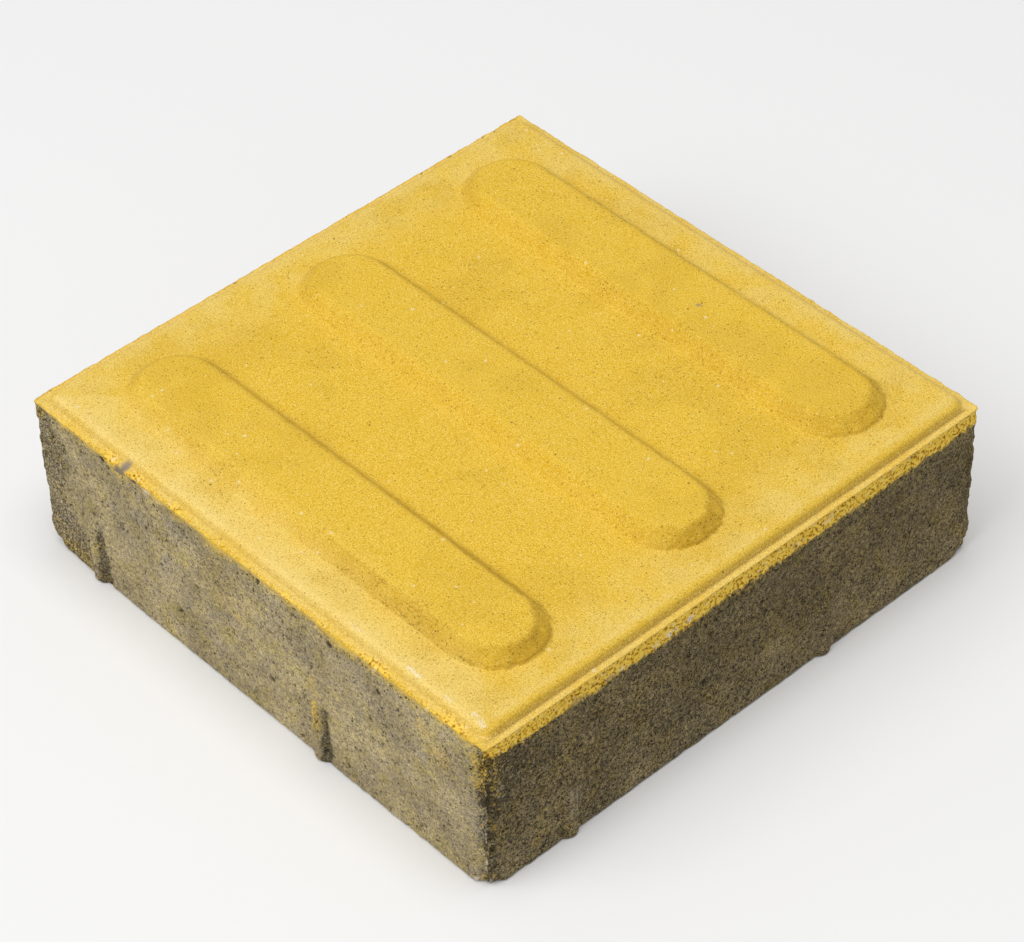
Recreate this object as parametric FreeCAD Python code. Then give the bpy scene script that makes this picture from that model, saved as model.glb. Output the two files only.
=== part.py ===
# Tactile paving slab with three round-ended guide bars, pressed from two concretes.
# Millimetres. +Z is up, the origin is the middle of the underside, and the bars run along X.
import FreeCAD
import Part
import os

# Laying grid and thickness
module = 200.0  # one slab's place in the paving, over the spacer nibs
thickness = 60.0  # underside to the flat of the wearing face
facing_thickness = 6.0  # coloured concrete under that flat
corner_radius = 1.5  # upright edges, in plan

# Rim of the wearing face: a narrow ledge, then a rounded shoulder up to the flat
ledge_beside_bars = 3.8
ledge_at_bar_ends = 2.5
ledge_drop = 2.7  # from the flat down to the ledge
shoulder_radius = 3.0
flat_corner_radius = 2.0  # corners of the flat inside the shoulder, in plan

# Guide bars
bar_count = 3
bar_gap = 32.0  # drain gap from the end of a bar to the next slab's bar
bar_width = 32.0  # over the foot
bar_height = 4.6
bar_flank_run = 4.6  # how far a flank leans in between foot and crest
bar_edge_radius = 3.2  # rounding between flank and crest

# Spacer nibs, two to a side, measured from that side's left corner as one faces it
nib_projection = 1.5
nib_width = 6.0
nib_height = 26.0
nib_lead = 5.0  # height of the slope at the top of a nib
nib_spacing = 102.0
nib_start_beside_bars = 24.0
nib_start_at_bar_ends = 31.5

# Worked out from the sizes above
body_side = module - 2 * nib_projection
bond_height = thickness - facing_thickness
ledge_height = thickness - ledge_drop
bar_length = module - bar_gap  # over the foot
bar_pitch = module / bar_count  # keeps the bars evenly spaced from slab to slab

# The ledge cuts the shoulder's quarter round short, which leaves its foot inside the full round's wall
shoulder_cut = max(shoulder_radius - ledge_drop, 0)
shoulder_setback = shoulder_radius - (shoulder_radius ** 2 - shoulder_cut ** 2) ** 0.5
field_length = body_side - 2 * (ledge_at_bar_ends - shoulder_setback)
field_width = body_side - 2 * (ledge_beside_bars - shoulder_setback)
field_corner_radius = flat_corner_radius + shoulder_radius


def point(x, y, z):
    return FreeCAD.Vector(x, y, z)


def upright_block(length, width, radius, bottom, top):
    """Block centred on the Z axis with its four upright edges rounded."""
    block = Part.makeBox(length, width, top - bottom, point(-length / 2, -width / 2, bottom))
    uprights = []
    for edge in block.Edges:
        if edge.Vertexes[0].Point.z != edge.Vertexes[1].Point.z:
            uprights.append(edge)
    return block.makeFillet(radius, uprights)


def edges_at(solid, height):
    """Edges of a solid that lie wholly at one height."""
    level = []
    for edge in solid.Edges:
        if abs(edge.BoundBox.ZMin - height) < 0.001 and abs(edge.BoundBox.ZMax - height) < 0.001:
            level.append(edge)
    return level


def stadium(length, width, z):
    """Closed outline with straight sides and half-round ends."""
    radius = width / 2
    reach = length / 2 - radius
    right = Part.Arc(point(reach, -radius, z), point(reach + radius, 0, z), point(reach, radius, z))
    left = Part.Arc(point(-reach, radius, z), point(-reach - radius, 0, z), point(-reach, -radius, z))
    back = Part.makeLine(point(reach, radius, z), point(-reach, radius, z))
    front = Part.makeLine(point(-reach, -radius, z), point(reach, -radius, z))
    return Part.Wire([right.toShape(), back, left.toShape(), front])


def guide_bar():
    """One bar standing on the flat, its flanks leaning in and its crest rounded off."""
    crest_height = thickness + bar_height
    foot = stadium(bar_length, bar_width, thickness)
    crest = stadium(bar_length - 2 * bar_flank_run, bar_width - 2 * bar_flank_run, crest_height)
    bar = Part.makeLoft([foot, crest], True, True)
    return bar.makeFillet(bar_edge_radius, edges_at(bar, crest_height))


def spacer_nib():
    """One rounded rib on a side that faces -Y, with its top sloped back to that side."""
    half = nib_width / 2
    bow = Part.Arc(point(-half, 0, 0), point(0, -nib_projection, 0), point(half, 0, 0))
    chord = Part.makeLine(point(half, 0, 0), point(-half, 0, 0))
    rib = Part.Face(Part.Wire([bow.toShape(), chord])).extrude(point(0, 0, nib_height))
    slope = Part.makePolygon([
        point(-half, 0, nib_height),
        point(-half, -nib_projection, nib_height - nib_lead),
        point(-half, -nib_projection, nib_height),
        point(-half, 0, nib_height),
    ])
    return rib.cut(Part.Face(slope).extrude(point(nib_width, 0, 0)))


# Facing layer: ledge block, raised field with its shoulder, and the bars
field = upright_block(field_length, field_width, field_corner_radius, bond_height, thickness)
field = field.makeFillet(shoulder_radius, edges_at(field, thickness))
facing = upright_block(body_side, body_side, corner_radius, bond_height, ledge_height).fuse(field)
for number in range(bar_count):
    bar = guide_bar()
    bar.translate(point(0, (number - (bar_count - 1) / 2) * bar_pitch, 0))
    facing = facing.fuse(bar)
facing = facing.removeSplitter()

# Backing layer: plain block with nibs, turned a quarter from side to side
backing = upright_block(body_side, body_side, corner_radius, 0, bond_height)
for quarter in range(4):
    start = nib_start_beside_bars if quarter % 2 == 0 else nib_start_at_bar_ends
    for place in (start, start + nib_spacing):
        nib = spacer_nib()
        nib.translate(point(place - body_side / 2, -body_side / 2, 0))
        nib.rotate(point(0, 0, 0), point(0, 0, 1), 90 * quarter)
        backing = backing.fuse(nib)
backing = backing.removeSplitter()

os.makedirs("parts", exist_ok=True)
for name, shape in (("facing_layer", facing), ("backing_layer", backing)):
    solid = shape.Solids[0]
    solid.exportStep("parts/" + name + ".step")
    box = solid.BoundBox
    print(name, "solids", len(shape.Solids), "valid", solid.isValid(), "mm3", round(solid.Volume))
    print("  reaches", round(box.XLength, 2), "by", round(box.YLength, 2), "up to z", round(box.ZMax, 2))
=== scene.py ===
# %% [markdown]
# # A tactile paving slab in pressed concrete
# The slab is one pressed block of two concretes: a fine yellow facing with three guide bars, and a coarse
# grey backing. Its solids are exact but bare, so this lesson lays a fine skin over each of them, presses sand
# grain, pits and crumbled edges into that skin, and colours it with nodes. The skin starts on the solid and
# nearly everywhere sinks into it. Only the shoulder beside the bars and the feet of the bars came out fuller
# in the mould. They stand out by less than a millimetre, and the slab as a whole keeps its size.

# %% Load the two solids
import itertools
import math

import bpy
import numpy as np
from mathutils import Matrix, Vector
from mathutils.bvhtree import BVHTree


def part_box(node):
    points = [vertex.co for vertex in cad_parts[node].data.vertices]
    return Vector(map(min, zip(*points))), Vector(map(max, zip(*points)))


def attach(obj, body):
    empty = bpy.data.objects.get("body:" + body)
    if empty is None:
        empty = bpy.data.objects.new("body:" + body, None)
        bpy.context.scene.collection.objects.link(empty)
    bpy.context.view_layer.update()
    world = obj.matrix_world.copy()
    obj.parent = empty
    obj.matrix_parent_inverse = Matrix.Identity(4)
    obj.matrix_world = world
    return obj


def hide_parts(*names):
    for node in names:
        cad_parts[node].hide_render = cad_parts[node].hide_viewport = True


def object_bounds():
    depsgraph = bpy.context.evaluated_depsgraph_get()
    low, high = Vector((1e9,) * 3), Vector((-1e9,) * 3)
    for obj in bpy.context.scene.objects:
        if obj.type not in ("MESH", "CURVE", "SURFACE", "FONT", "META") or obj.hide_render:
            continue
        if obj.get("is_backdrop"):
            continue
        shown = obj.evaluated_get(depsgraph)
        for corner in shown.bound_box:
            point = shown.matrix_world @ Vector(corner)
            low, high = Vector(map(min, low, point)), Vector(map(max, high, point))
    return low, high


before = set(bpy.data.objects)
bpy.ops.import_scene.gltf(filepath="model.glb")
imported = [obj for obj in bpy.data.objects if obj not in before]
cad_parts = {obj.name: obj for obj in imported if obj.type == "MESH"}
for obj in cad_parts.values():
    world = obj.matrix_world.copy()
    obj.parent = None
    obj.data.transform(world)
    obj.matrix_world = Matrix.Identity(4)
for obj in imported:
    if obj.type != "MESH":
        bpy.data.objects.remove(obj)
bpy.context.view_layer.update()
MM = 0.001  # the mesh work below counts in millimetres, and Blender in metres

# %% [markdown]
# ## Camera
# The picture was taken with a long lens from above one corner. A camera fitted to the slab's edges gives the
# angles, the distance and a roll of two degrees. A camera's matrix has its right, up and back directions as
# columns, so it can be written straight from those angles, with no constraint to track a target.

# %% Camera
AZIMUTH, ELEVATION, ROLL = math.radians(48.42), math.radians(42.82), math.radians(-1.90)
CAMERA_DISTANCE = 1096 * MM
AIM = Vector((0.8, 1.8, 29.4)) * MM
SENSOR_WIDTH, FOCAL_LENGTH = 36, 129.26

back = Vector((
    math.sin(AZIMUTH) * math.cos(ELEVATION),
    -math.cos(AZIMUTH) * math.cos(ELEVATION),
    math.sin(ELEVATION),
))
level = Vector((math.cos(AZIMUTH), math.sin(AZIMUTH), 0))
right = Matrix.Rotation(ROLL, 3, back) @ level
up = back.cross(right)
turn = Matrix((right, up, back)).transposed().to_4x4()

lens = bpy.data.cameras.new("camera")
lens.sensor_width = SENSOR_WIDTH
lens.lens = FOCAL_LENGTH
camera = bpy.data.objects.new("camera", lens)
camera.matrix_world = Matrix.Translation(AIM + back * CAMERA_DISTANCE) @ turn
bpy.context.scene.collection.objects.link(camera)
bpy.context.scene.camera = camera
print("camera at", [round(v / MM) for v in camera.matrix_world.translation], "mm")

# %% [markdown]
# ## Studio
# Most of the light falls from above: the ledge round the face is as bright as the flat, and no slope throws a
# shadow on it. A second, lower light stands off to the left, over the side that runs along the bars. It draws
# the broad shine on that shoulder and leaves the bar ends and the right-hand side in shade. Two big softboxes
# give that, the upper one leaned a little over the right-hand side. A weak even sky lets the shade keep its
# colour, and the standard view transform shows colours as they are set.

# %% Floor and sky
FLOOR_HALF = 4.0
FLOOR_GAP = 0.1 * MM  # keeps the floor off the slab's underside
FLOOR_GREY, FLOOR_ROUGHNESS = 0.88, 0.9
CORNER_SIGNS = ((-1, -1), (1, -1), (1, 1), (-1, 1))
SKY_STRENGTH = 0.33

floor_finish = bpy.data.materials.new("pale_floor")
floor_finish.use_nodes = True
floor_shader = floor_finish.node_tree.nodes["Principled BSDF"]
floor_shader.inputs["Base Color"].default_value = (FLOOR_GREY, FLOOR_GREY, FLOOR_GREY, 1)
floor_shader.inputs["Roughness"].default_value = FLOOR_ROUGHNESS

floor_mesh = bpy.data.meshes.new("floor")
floor_corners = [(x * FLOOR_HALF, y * FLOOR_HALF, -FLOOR_GAP) for x, y in CORNER_SIGNS]
floor_mesh.from_pydata(floor_corners, [], [(0, 1, 2, 3)])
floor_mesh.materials.append(floor_finish)
floor = bpy.data.objects.new("floor", floor_mesh)
bpy.context.scene.collection.objects.link(floor)
floor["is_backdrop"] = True

sky = bpy.data.worlds.new("sky")
sky.use_nodes = True
sky.node_tree.nodes["Background"].inputs["Color"].default_value = (1, 1, 1, 1)
sky.node_tree.nodes["Background"].inputs["Strength"].default_value = SKY_STRENGTH
bpy.context.scene.world = sky
bpy.context.scene.view_settings.view_transform = "Standard"
print("floor", 2 * FLOOR_HALF, "m wide under a sky of strength", SKY_STRENGTH)

# %% [markdown]
# A softbox is an area light in the shape of a disk. Each one is turned so that its -Z axis, along which it
# shines, points at the slab. Their width sets how soft the shadows are, and their watts how strong.

# %% Softboxes
LIGHT_DISTANCE = 3.0
SOFTBOXES = (  # name, direction from the slab, width in metres and watts
    ("overhead", (0.13, -0.05, 1.0), 2.0, 42),
    ("from the left", (-0.14, -0.63, 0.76), 2.4, 38),
)

for name, towards, size, watts in SOFTBOXES:
    towards = Vector(towards).normalized()
    softbox = bpy.data.lights.new(name, "AREA")
    softbox.shape = "DISK"
    softbox.size = size
    softbox.energy = watts
    softbox_object = bpy.data.objects.new(name, softbox)
    softbox_object.location = towards * LIGHT_DISTANCE
    softbox_object.rotation_euler = (-towards).to_track_quat("-Z", "Y").to_euler()
    bpy.context.scene.collection.objects.link(softbox_object)
    print("softbox", name, "at", [round(v, 2) for v in softbox_object.location], "m")

# %% [markdown]
# ## Random fields for concrete
# Concrete is random at every scale, and the same fields have to shape the mesh and, later, darken its pits.
# Two kinds are enough. The first, soft noise, blends random heights on a lattice and gives lumps. It takes
# any points in space, so the field runs on without a seam from the top over the edge and down the sides.
# Blender's own noise could displace a mesh too, but then the pits' depths would be out of the script's reach.

# %% Soft noise
TWIST_AXIS = Vector((1, 2, 3)).normalized()
TWIST = np.array(Matrix.Rotation(0.7, 3, TWIST_AXIS))  # turns the lattice off the slab's axes


def lattice_random(cells, seed):
    """A repeatable random number from 0 to 1 for each whole-numbered cell."""
    key = cells.astype(np.int64) @ np.array([73856093, 19349663, 83492791]) + seed * 374761393
    key = (key ^ (key >> 13)) * 1274126177 & 0xFFFFFFFF
    key = (key ^ (key >> 15)) * 2246822519 & 0xFFFFFFFF
    return ((key ^ (key >> 16)) & 0xFFFFFF) / 0x1000000


def soft_noise(points, size, seed):
    """Smooth random heights from 0 to 1, with lumps about one size across."""
    scaled = points @ TWIST / size
    cell = np.floor(scaled)
    part = scaled - cell
    part = part * part * (3 - 2 * part)
    total = np.zeros(len(points))
    for corner in itertools.product((0, 1), repeat=3):
        weight = np.prod(np.where(corner, part, 1 - part), axis=1)
        total += weight * lattice_random(cell + corner, seed)
    return total


trial_line = np.linspace((0, 0, 0), (90, 60, 30), 2001)
trial = soft_noise(trial_line, 1.3, 1)
print("soft noise runs from", round(trial.min(), 2), "to", round(trial.max(), 2))

# %% [markdown]
# The second kind puts a ball at a random spot of some lattice cells and measures how deep a point lies in it.
# That is how a grain leaves its bed or an air bubble opens. A smooth step goes with it, because nearly every
# zone of the slab fades into the next.

# %% Scattered pits and a smooth step
def scattered_pits(points, spacing, radius, share, seed):
    """How deep points lie in round pits, from 0 to 1. A share of the cells of that spacing holds one."""
    scaled = points @ TWIST / spacing
    cell = np.floor(scaled)
    depth = np.zeros(len(points))
    for step in itertools.product((-1, 0, 1), repeat=3):
        near = cell + step
        spot = near + np.stack([lattice_random(near, seed + axis) for axis in range(3)], axis=1)
        size = radius / spacing * (0.4 + 0.6 * lattice_random(near, seed + 3))
        there = lattice_random(near, seed + 4) < share
        away = np.linalg.norm(scaled - spot, axis=1) / size
        depth = np.maximum(depth, np.where(there, 1 - away ** 2, 0))
    return depth


def ease(low, high, value):
    """0 below low, 1 above high, and a smooth rise between."""
    part = np.clip((value - low) / (high - low), 0, 1)
    return part * part * (3 - 2 * part)


trial = scattered_pits(trial_line, 2.0, 0.75, 0.5, 1)
print("pits take up", round(100 * (trial > 0).mean()), "% of a line through them")

# %% [markdown]
# ## Laying a skin on a solid
# A solid from CAD has a few large faces, which can't hold sand grain. A remesh would round its edges off.
# Casting a ray from every point of a fine grid to the solid keeps its exact shape, bars and nibs included,
# and gives the surface's direction at each point, which later tells a flat from a flank.

# %% Ray casting onto the solids
def solid_tree(*names):
    """One search tree over the triangles of the named solids, in millimetres."""
    corners, triangles = [], []
    for name in names:
        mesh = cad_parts[name].data
        first = len(corners)
        corners += [v.co / MM for v in mesh.vertices]
        triangles += [[first + v for v in face.vertices] for face in mesh.polygons]
    return BVHTree.FromPolygons(corners, triangles)


def cast(tree, starts, directions):
    """Where rays meet a solid, and the directions its surface faces there, as two arrays of rows."""
    places, facings = [], []
    for start, direction in zip(starts, directions):
        place, facing, _, _ = tree.ray_cast(Vector(start), Vector(direction))
        places.append(place)
        facings.append(facing)
    return np.array(places), np.array(facings)


whole_slab = solid_tree("facing_layer", "backing_layer")
half_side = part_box("facing_layer")[1].x / MM
bond_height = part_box("backing_layer")[1].z / MM
print("body is", round(2 * half_side, 2), "mm wide and the layers meet at", round(bond_height, 2), "mm")

# %% [markdown]
# The grid's lines stand closer where the face is steep, on the rim and along the bars' flanks. An even grid
# would need nearly twice the points to show the same flanks, and most of them would lie on the plain flat.

# %% Grid lines
FINE_STEP, COARSE_STEP = 0.5, 0.75
STEEP = 0.03  # a slope above this gets fine lines
RIM_STARTS = 91.0  # and so does the face beyond this
OUTLINE_CLEARANCE = 0.02  # rays fall this far inside the outline
SWEEP_POINTS = 4001
ABOVE = 100.0  # where rays start, clear of the bars


def graded_lines(profile_starts):
    """Grid lines from one side to the other, closer where the profile under the given points is steep."""
    along = np.linspace(-half_side, half_side, len(profile_starts))
    profile, _ = cast(whole_slab, profile_starts, [(0, 0, -1)] * len(profile_starts))
    steep = np.abs(np.gradient(profile[:, 2], along)) > STEEP
    spacing = np.where(steep | (np.abs(along) > RIM_STARTS), FINE_STEP, COARSE_STEP)
    passed = np.concatenate([[0], np.cumsum(np.diff(along) / spacing[1:])])
    return np.interp(np.linspace(0, passed[-1], round(passed[-1]) + 1), passed, along)


drawn_in = 1 - OUTLINE_CLEARANCE / half_side
sweep = np.linspace(-half_side, half_side, SWEEP_POINTS) * drawn_in
lines_x = graded_lines([(x, 0, ABOVE) for x in sweep])
lines_y = graded_lines([(0, y, ABOVE) for y in sweep])
print("wearing face:", len(lines_x), "by", len(lines_y), "points")

# %% [markdown]
# A square grid can follow the rounded upright edges too. Inside each corner, a formula that maps a square to
# a disc bends the grid's lines into the arc, and leaves them as they were where the corner ends.

# %% Rounded corners of the grid
UPRIGHT_RADIUS = 1.5  # of the slab's upright edges, in plan

face_x, face_y = np.meshgrid(lines_x, lines_y, indexing="ij")
flat_reach = half_side - UPRIGHT_RADIUS
corner_u = np.clip(np.abs(face_x) - flat_reach, 0, None) / UPRIGHT_RADIUS
corner_v = np.clip(np.abs(face_y) - flat_reach, 0, None) / UPRIGHT_RADIUS
in_corner = (corner_u > 0) & (corner_v > 0)
arc_x = flat_reach + UPRIGHT_RADIUS * corner_u * np.sqrt(1 - corner_v ** 2 / 2)
arc_y = flat_reach + UPRIGHT_RADIUS * corner_v * np.sqrt(1 - corner_u ** 2 / 2)
face_x = np.where(in_corner, np.sign(face_x) * arc_x, face_x)
face_y = np.where(in_corner, np.sign(face_y) * arc_y, face_y)
plan = np.stack([face_x, face_y], axis=-1).reshape(-1, 2)
print(in_corner.sum(), "points bent into the four corners")

# %% [markdown]
# The cast shoulder beside the bars reaches a little further out than the drawn one, and the outline of a bar
# strays, because damp concrete doesn't leave the mould cleanly. Both can be had from where the rays fall: a
# ray moved inwards finds a higher place, which stands at the grid's point as a fuller edge.

# %% Grid laid on the solids
SHOULDER_STARTS = np.array([93.0, 91.7])  # where the solid's shoulder starts to fall, along X and Y
FULLER = np.array([0.0, 0.85])  # how much further out the cast one reaches
FULLER_FADE = (-7.5, -5.0)  # grows in over this stretch before the shoulder
RAGGED = 0.5  # how far the outline of a bar strays
RAGGED_LUMP = 1.8
RAGGED_ENDS = (55, 75)  # more towards the right-hand ends of the bars

past_start = np.abs(plan) - SHOULDER_STARTS
on_rim = ease(*FULLER_FADE, past_start)
spots = np.column_stack([plan, np.zeros(len(plan))])
stray = np.stack([soft_noise(spots, RAGGED_LUMP, 90), soft_noise(spots, RAGGED_LUMP, 91)], axis=1) - 0.5
stray *= RAGGED * (1 + 1.5 * ease(*RAGGED_ENDS, plan[:, :1])) * (1 - on_rim.max(axis=1, keepdims=True))
inside = plan * drawn_in - np.sign(plan) * on_rim * FULLER + stray
face_place, face_facing = cast(whole_slab, [(x, y, ABOVE) for x, y in inside], [(0, 0, -1)] * len(plan))
face_place[:, :2] = plan
flat_height = np.median(face_place[:, 2])
print("flat at", round(flat_height, 2), "mm, crests at", round(face_place[:, 2].max(), 2), "mm")

# %% [markdown]
# The sides hang from the edge of that grid, so the two share their points and no gap can open. Each point of
# the edge starts a column that runs down to the underside.

# %% Columns of the sides
count_x, count_y = len(lines_x), len(lines_y)
numbers = np.arange(count_x * count_y).reshape(count_x, count_y)
edge_numbers = np.concatenate([numbers[:-1, 0], numbers[-1, :-1], numbers[:0:-1, -1], numbers[0, :0:-1]])
side_starts = np.cumsum([0, count_x - 1, count_y - 1, count_x - 1, count_y - 1])
columns = len(edge_numbers)
edge_plan = plan[edge_numbers]
nearest = np.clip(edge_plan, -flat_reach, flat_reach)
outward = (edge_plan - nearest) / np.linalg.norm(edge_plan - nearest, axis=1, keepdims=True)
print(columns, "columns round the slab")

# %% [markdown]
# ## The wearing face
# The mould's steel plate presses this face, so its flat and crests are close and fine, with paste rubbed
# smooth on the rim. Each part of it wants a grain of its own. The zones could be painted by hand as weights,
# but the solid knows them already: how far a point lies past the flat's outline, how high it is above the
# flat, and which way it faces.

# %% Outline of the flat
BETWEEN_BARS, PAST_BARS = 33.0, 87.0  # where plain flat runs out to the rim, along X and along Y
LANE_HALF = 5.0


def flat_half(points, axis):
    """How far the flat reaches along one axis before the shoulder starts to fall."""
    level_points = points[:, 2] > flat_height - 0.01
    return np.abs(points[level_points, axis]).max()


place_x, place_y = face_place[:, 0], face_place[:, 1]
from_edge = half_side - np.abs(face_place[:, :2]).max(axis=1)
on_field = face_place[from_edge > 1]
flat_x = flat_half(on_field[np.abs(np.abs(on_field[:, 1]) - BETWEEN_BARS) < LANE_HALF], 0)
flat_y = flat_half(on_field[np.abs(on_field[:, 0]) > PAST_BARS], 1)
past_flat = np.maximum(np.abs(place_x) - flat_x, np.abs(place_y) - flat_y)
print("flat reaches", round(flat_x, 1), "by", round(flat_y, 1), "mm from the middle")

# %% [markdown]
# A bar has a flat crest, leaning flanks and a foot. Height and slope tell them apart, and the way a flank
# faces tells whether it lies towards the light or in the shade.

# %% Zones of the bars
above_flat = face_place[:, 2] - flat_height
slope = 1 - face_facing[:, 2]
on_bar = ease(0.02, 0.2, above_flat)
on_flank = ease(0.06, 0.22, slope) * on_bar
near_flank = ease(0.015, 0.10, slope) * on_bar
at_foot = on_bar * (1 - ease(0.6, 1.6, above_flat)) * on_flank
towards_light = ease(0.1, 0.6, -face_facing[:, 1])
in_shade = ease(0.15, 0.80, face_facing[:, 0]) ** 2 * (1 - 0.6 * ease(-10, 60, place_y))
right_end = np.clip(2 * face_facing[:, 0] * face_facing[:, 2], 0, 1)
print("flanks take up", round(100 * on_flank.mean()), "% of the points")

# %% [markdown]
# The rim differs from side to side. Along the left its edge crumbles, on the right it came out sharp, and the
# two far sides stay nearly whole. Between them runs the crease where the shoulder meets the ledge.

# %% Zones of the rim
CREASE_AT, CREASE_HALF = 3.0, 0.9  # past the flat

on_left_rim = ease(0, 3, -place_y - np.abs(place_x))
on_right_rim = ease(0, 3, place_x - np.abs(place_y))
on_end_rim = ease(-1, 2, np.abs(place_x) - np.abs(place_y))
on_far_rim = 1 - ease(-1, 2, np.maximum(place_x, -place_y) - np.maximum(-place_x, place_y))
crumble_width = 0.6 + 0.9 * on_left_rim - 0.35 * on_right_rim
crumble_swing = (0.4 + 0.8 * on_left_rim - 0.25 * on_right_rim) * (soft_noise(face_place, 2.2, 8) - 0.5)
whole_rim = 0.85 * np.maximum(on_right_rim, on_far_rim)
crumbly = (1 - ease(0.1, crumble_width, from_edge + crumble_swing)) * (1 - whole_rim)
burnished = ease(-3.5, 0.5, past_flat) * (1 - crumbly)
crease = np.clip(1 - np.abs(past_flat - CREASE_AT) / CREASE_HALF, 0, 1)
print("the rim crumbles at", (crumbly > 0.5).sum(), "points")

# %% [markdown]
# Concrete fills the steep flanks of the bars last. That leaves them open and pitted, above all at the ends in
# the shade, and torn along the foot that faces the light, where pits are drawn out along the bar. The same
# value later paints the flanks that face away from the light deeper, as painted shade.

# %% Grain and pits of the wearing face
STREAK = np.array([0.35, 1.0, 1.0])  # draws pits out along the bars

patches = ease(0.50, 0.70, 0.6 * soft_noise(face_place, 17, 2) + 0.4 * soft_noise(face_place, 6, 3))
near_bar_end = ease(40, 55, -place_y) * ease(-10, 30, place_x)
rough_here = np.clip(0.15 + 0.85 * near_bar_end + 0.5 * ease(55, 78, place_x), 0, 1)
open_flank = near_flank * np.maximum(0.4 * rough_here, in_shade)
open_grain_and_shade = np.clip(open_flank + 0.2 * patches * (1 - burnished), 0, 1)
fine_grain = 0.6 * soft_noise(face_place, 1.6, 4) + 0.4 * soft_noise(face_place, 0.95, 5)
small_pits = scattered_pits(face_place, 2.0, 0.75, 0.05 + 0.32 * open_grain_and_shade, 10)
torn_line = ease(0.42, 0.62, soft_noise(face_place * STREAK, 5.0, 7)) * towards_light * rough_here
foot_pits = scattered_pits(face_place * STREAK, 1.4, 0.65, 0.6 * at_foot * torn_line, 20)
edge_pits = scattered_pits(face_place, 1.7, 1.0, 0.75 * crumbly, 30)
# This value later paints the pits darker, as the shade in them.
face_pit_shade = np.clip(0.7 * small_pits + foot_pits + 0.6 * edge_pits, 0, 1)
print("pits take up", round(100 * (face_pit_shade > 0.1).mean()), "% of the wearing face")

# %% [markdown]
# Everything that sinks a point is added up and taken off along the way it faces. A few broad forms go in at
# the same time: the bars' right-hand ends swell at the foot, their far flanks stand steeper, and the ledge at
# the bar ends lies lower than the solid's. Nothing may rise above the crests.

# %% Skin of the wearing face
SWELL, SWELL_LOSS = 0.95, 0.13  # of a bar's right-hand end, at its foot and lost per millimetre of height
STEEPER = 0.5  # how far the foot of a bar's far flank comes in
LEDGE_SINK = 0.4  # the cast ledge at the bar ends lies a little lower than the solid's

face_sink = (
    0.10 * soft_noise(face_place, 34, 6)
    - (SWELL - SWELL_LOSS * above_flat) * right_end * on_bar
    + (0.04 + 0.20 * open_grain_and_shade) * (1 - 0.7 * burnished) * fine_grain
    + (0.20 + 0.25 * near_flank * rough_here) * small_pits
    + 0.7 * foot_pits
    + crumbly ** 2 * (0.2 + 0.5 * fine_grain + 0.4 * edge_pits)
    - 0.08 * crease
)
face_skin = face_place - face_facing * face_sink[:, None]
face_skin[:, 1] -= STEEPER * ease(0.25, 0.6, face_facing[:, 1]) * on_bar * (1 - ease(1.5, 4.0, above_flat))
face_skin[:, 2] -= LEDGE_SINK * ease(2.1, 2.9, past_flat) * on_end_rim
face_skin[:, 2] = np.minimum(face_skin[:, 2], face_place[:, 2].max())
print("grain sinks the face by", round(face_sink.mean(), 3), "mm, at most by", round(face_sink.max(), 2))

# %% [markdown]
# ## The sides
# The sides were cut and stripped from the mould while the concrete was still damp. The two layers meet
# along a wavy line there: the face mix is thinner on one side than on the other, and its lower edge wanders
# with the lumps under it. Each column of points gets a row on that line, so that the layers can part there.

# %% Heights of the columns
STRIP_ROWS, BACKING_ROWS = 9, 70
LOWER_EDGE = ((0.0, 1.0), (0.25, 0.35), (0.8, 0.05))  # height and setback of the worn lower edge
TILT = np.array([-3.4, -1.4])  # how the layers' meeting line climbs towards -X and -Y

meeting_places = np.column_stack([edge_plan, np.full(columns, bond_height)])
wander = 3.0 * (soft_noise(meeting_places, 10, 40) - 0.5) + 2.6 * (soft_noise(meeting_places, 3.6, 41) - 0.5)
meeting_height = bond_height + outward @ TILT + wander * (1 - 0.6 * np.abs(outward[:, 0]))
ledge_height = face_place[edge_numbers, 2]
meeting_height = np.minimum(meeting_height, ledge_height - 0.3)

backing_steps = np.linspace(0, 1, BACKING_ROWS + 1)
lowest = LOWER_EDGE[-1][0]
backing_heights = lowest + (meeting_height[:, None] - lowest) * backing_steps
strip_steps = np.linspace(0, 1, STRIP_ROWS + 1)[1:]
strip_heights = meeting_height[:, None] + (ledge_height - meeting_height)[:, None] * strip_steps
worn_heights = np.tile([height for height, _ in LOWER_EDGE[:-1]], (columns, 1))
side_heights = np.hstack([worn_heights, backing_heights, strip_heights])
rows = side_heights.shape[1]
meeting_row = len(LOWER_EDGE) - 1 + BACKING_ROWS
print(rows, "rows, meeting from", round(meeting_height.min(), 1), "to", round(meeting_height.max(), 1), "mm")

# %% [markdown]
# At each height of a column, a ray is cast inwards from a start beyond the nibs, so the nibs come out on
# the skin as well.

# %% Columns laid on the solids
RAY_START = 20.0  # clear of the nibs
RAY_CLEARANCE = 0.05  # rays stay this far from the underside and the ledge

flat_outward = np.repeat(outward, rows, axis=0)
side_facing = np.column_stack([flat_outward, np.zeros(len(flat_outward))])
ray_plan = np.repeat(edge_plan, rows, axis=0) + flat_outward * RAY_START
ray_heights = np.clip(side_heights.reshape(-1), RAY_CLEARANCE, ledge_height.min() - RAY_CLEARANCE)
side_place, _ = cast(whole_slab, np.column_stack([ray_plan, ray_heights]), -side_facing)
side_place[:, 2] = side_heights.reshape(-1)
x, y, z = side_place.T
over_meeting = z - np.repeat(meeting_height, rows)
under_ledge = np.repeat(ledge_height, rows) - z
print(len(side_place), "points on the sides, the nibs reach out to", round(np.abs(x).max(), 2), "mm")

# %% [markdown]
# The facing's edge tears open into a coarse crust, and the backing drags out to a sandy skin with pinholes.
# Corners, the near upright edge, the left-hand end and the dark flank of a nib lose the most grains. As on
# the face, the zones come from each point's place, with noise to fray their borders.

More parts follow.
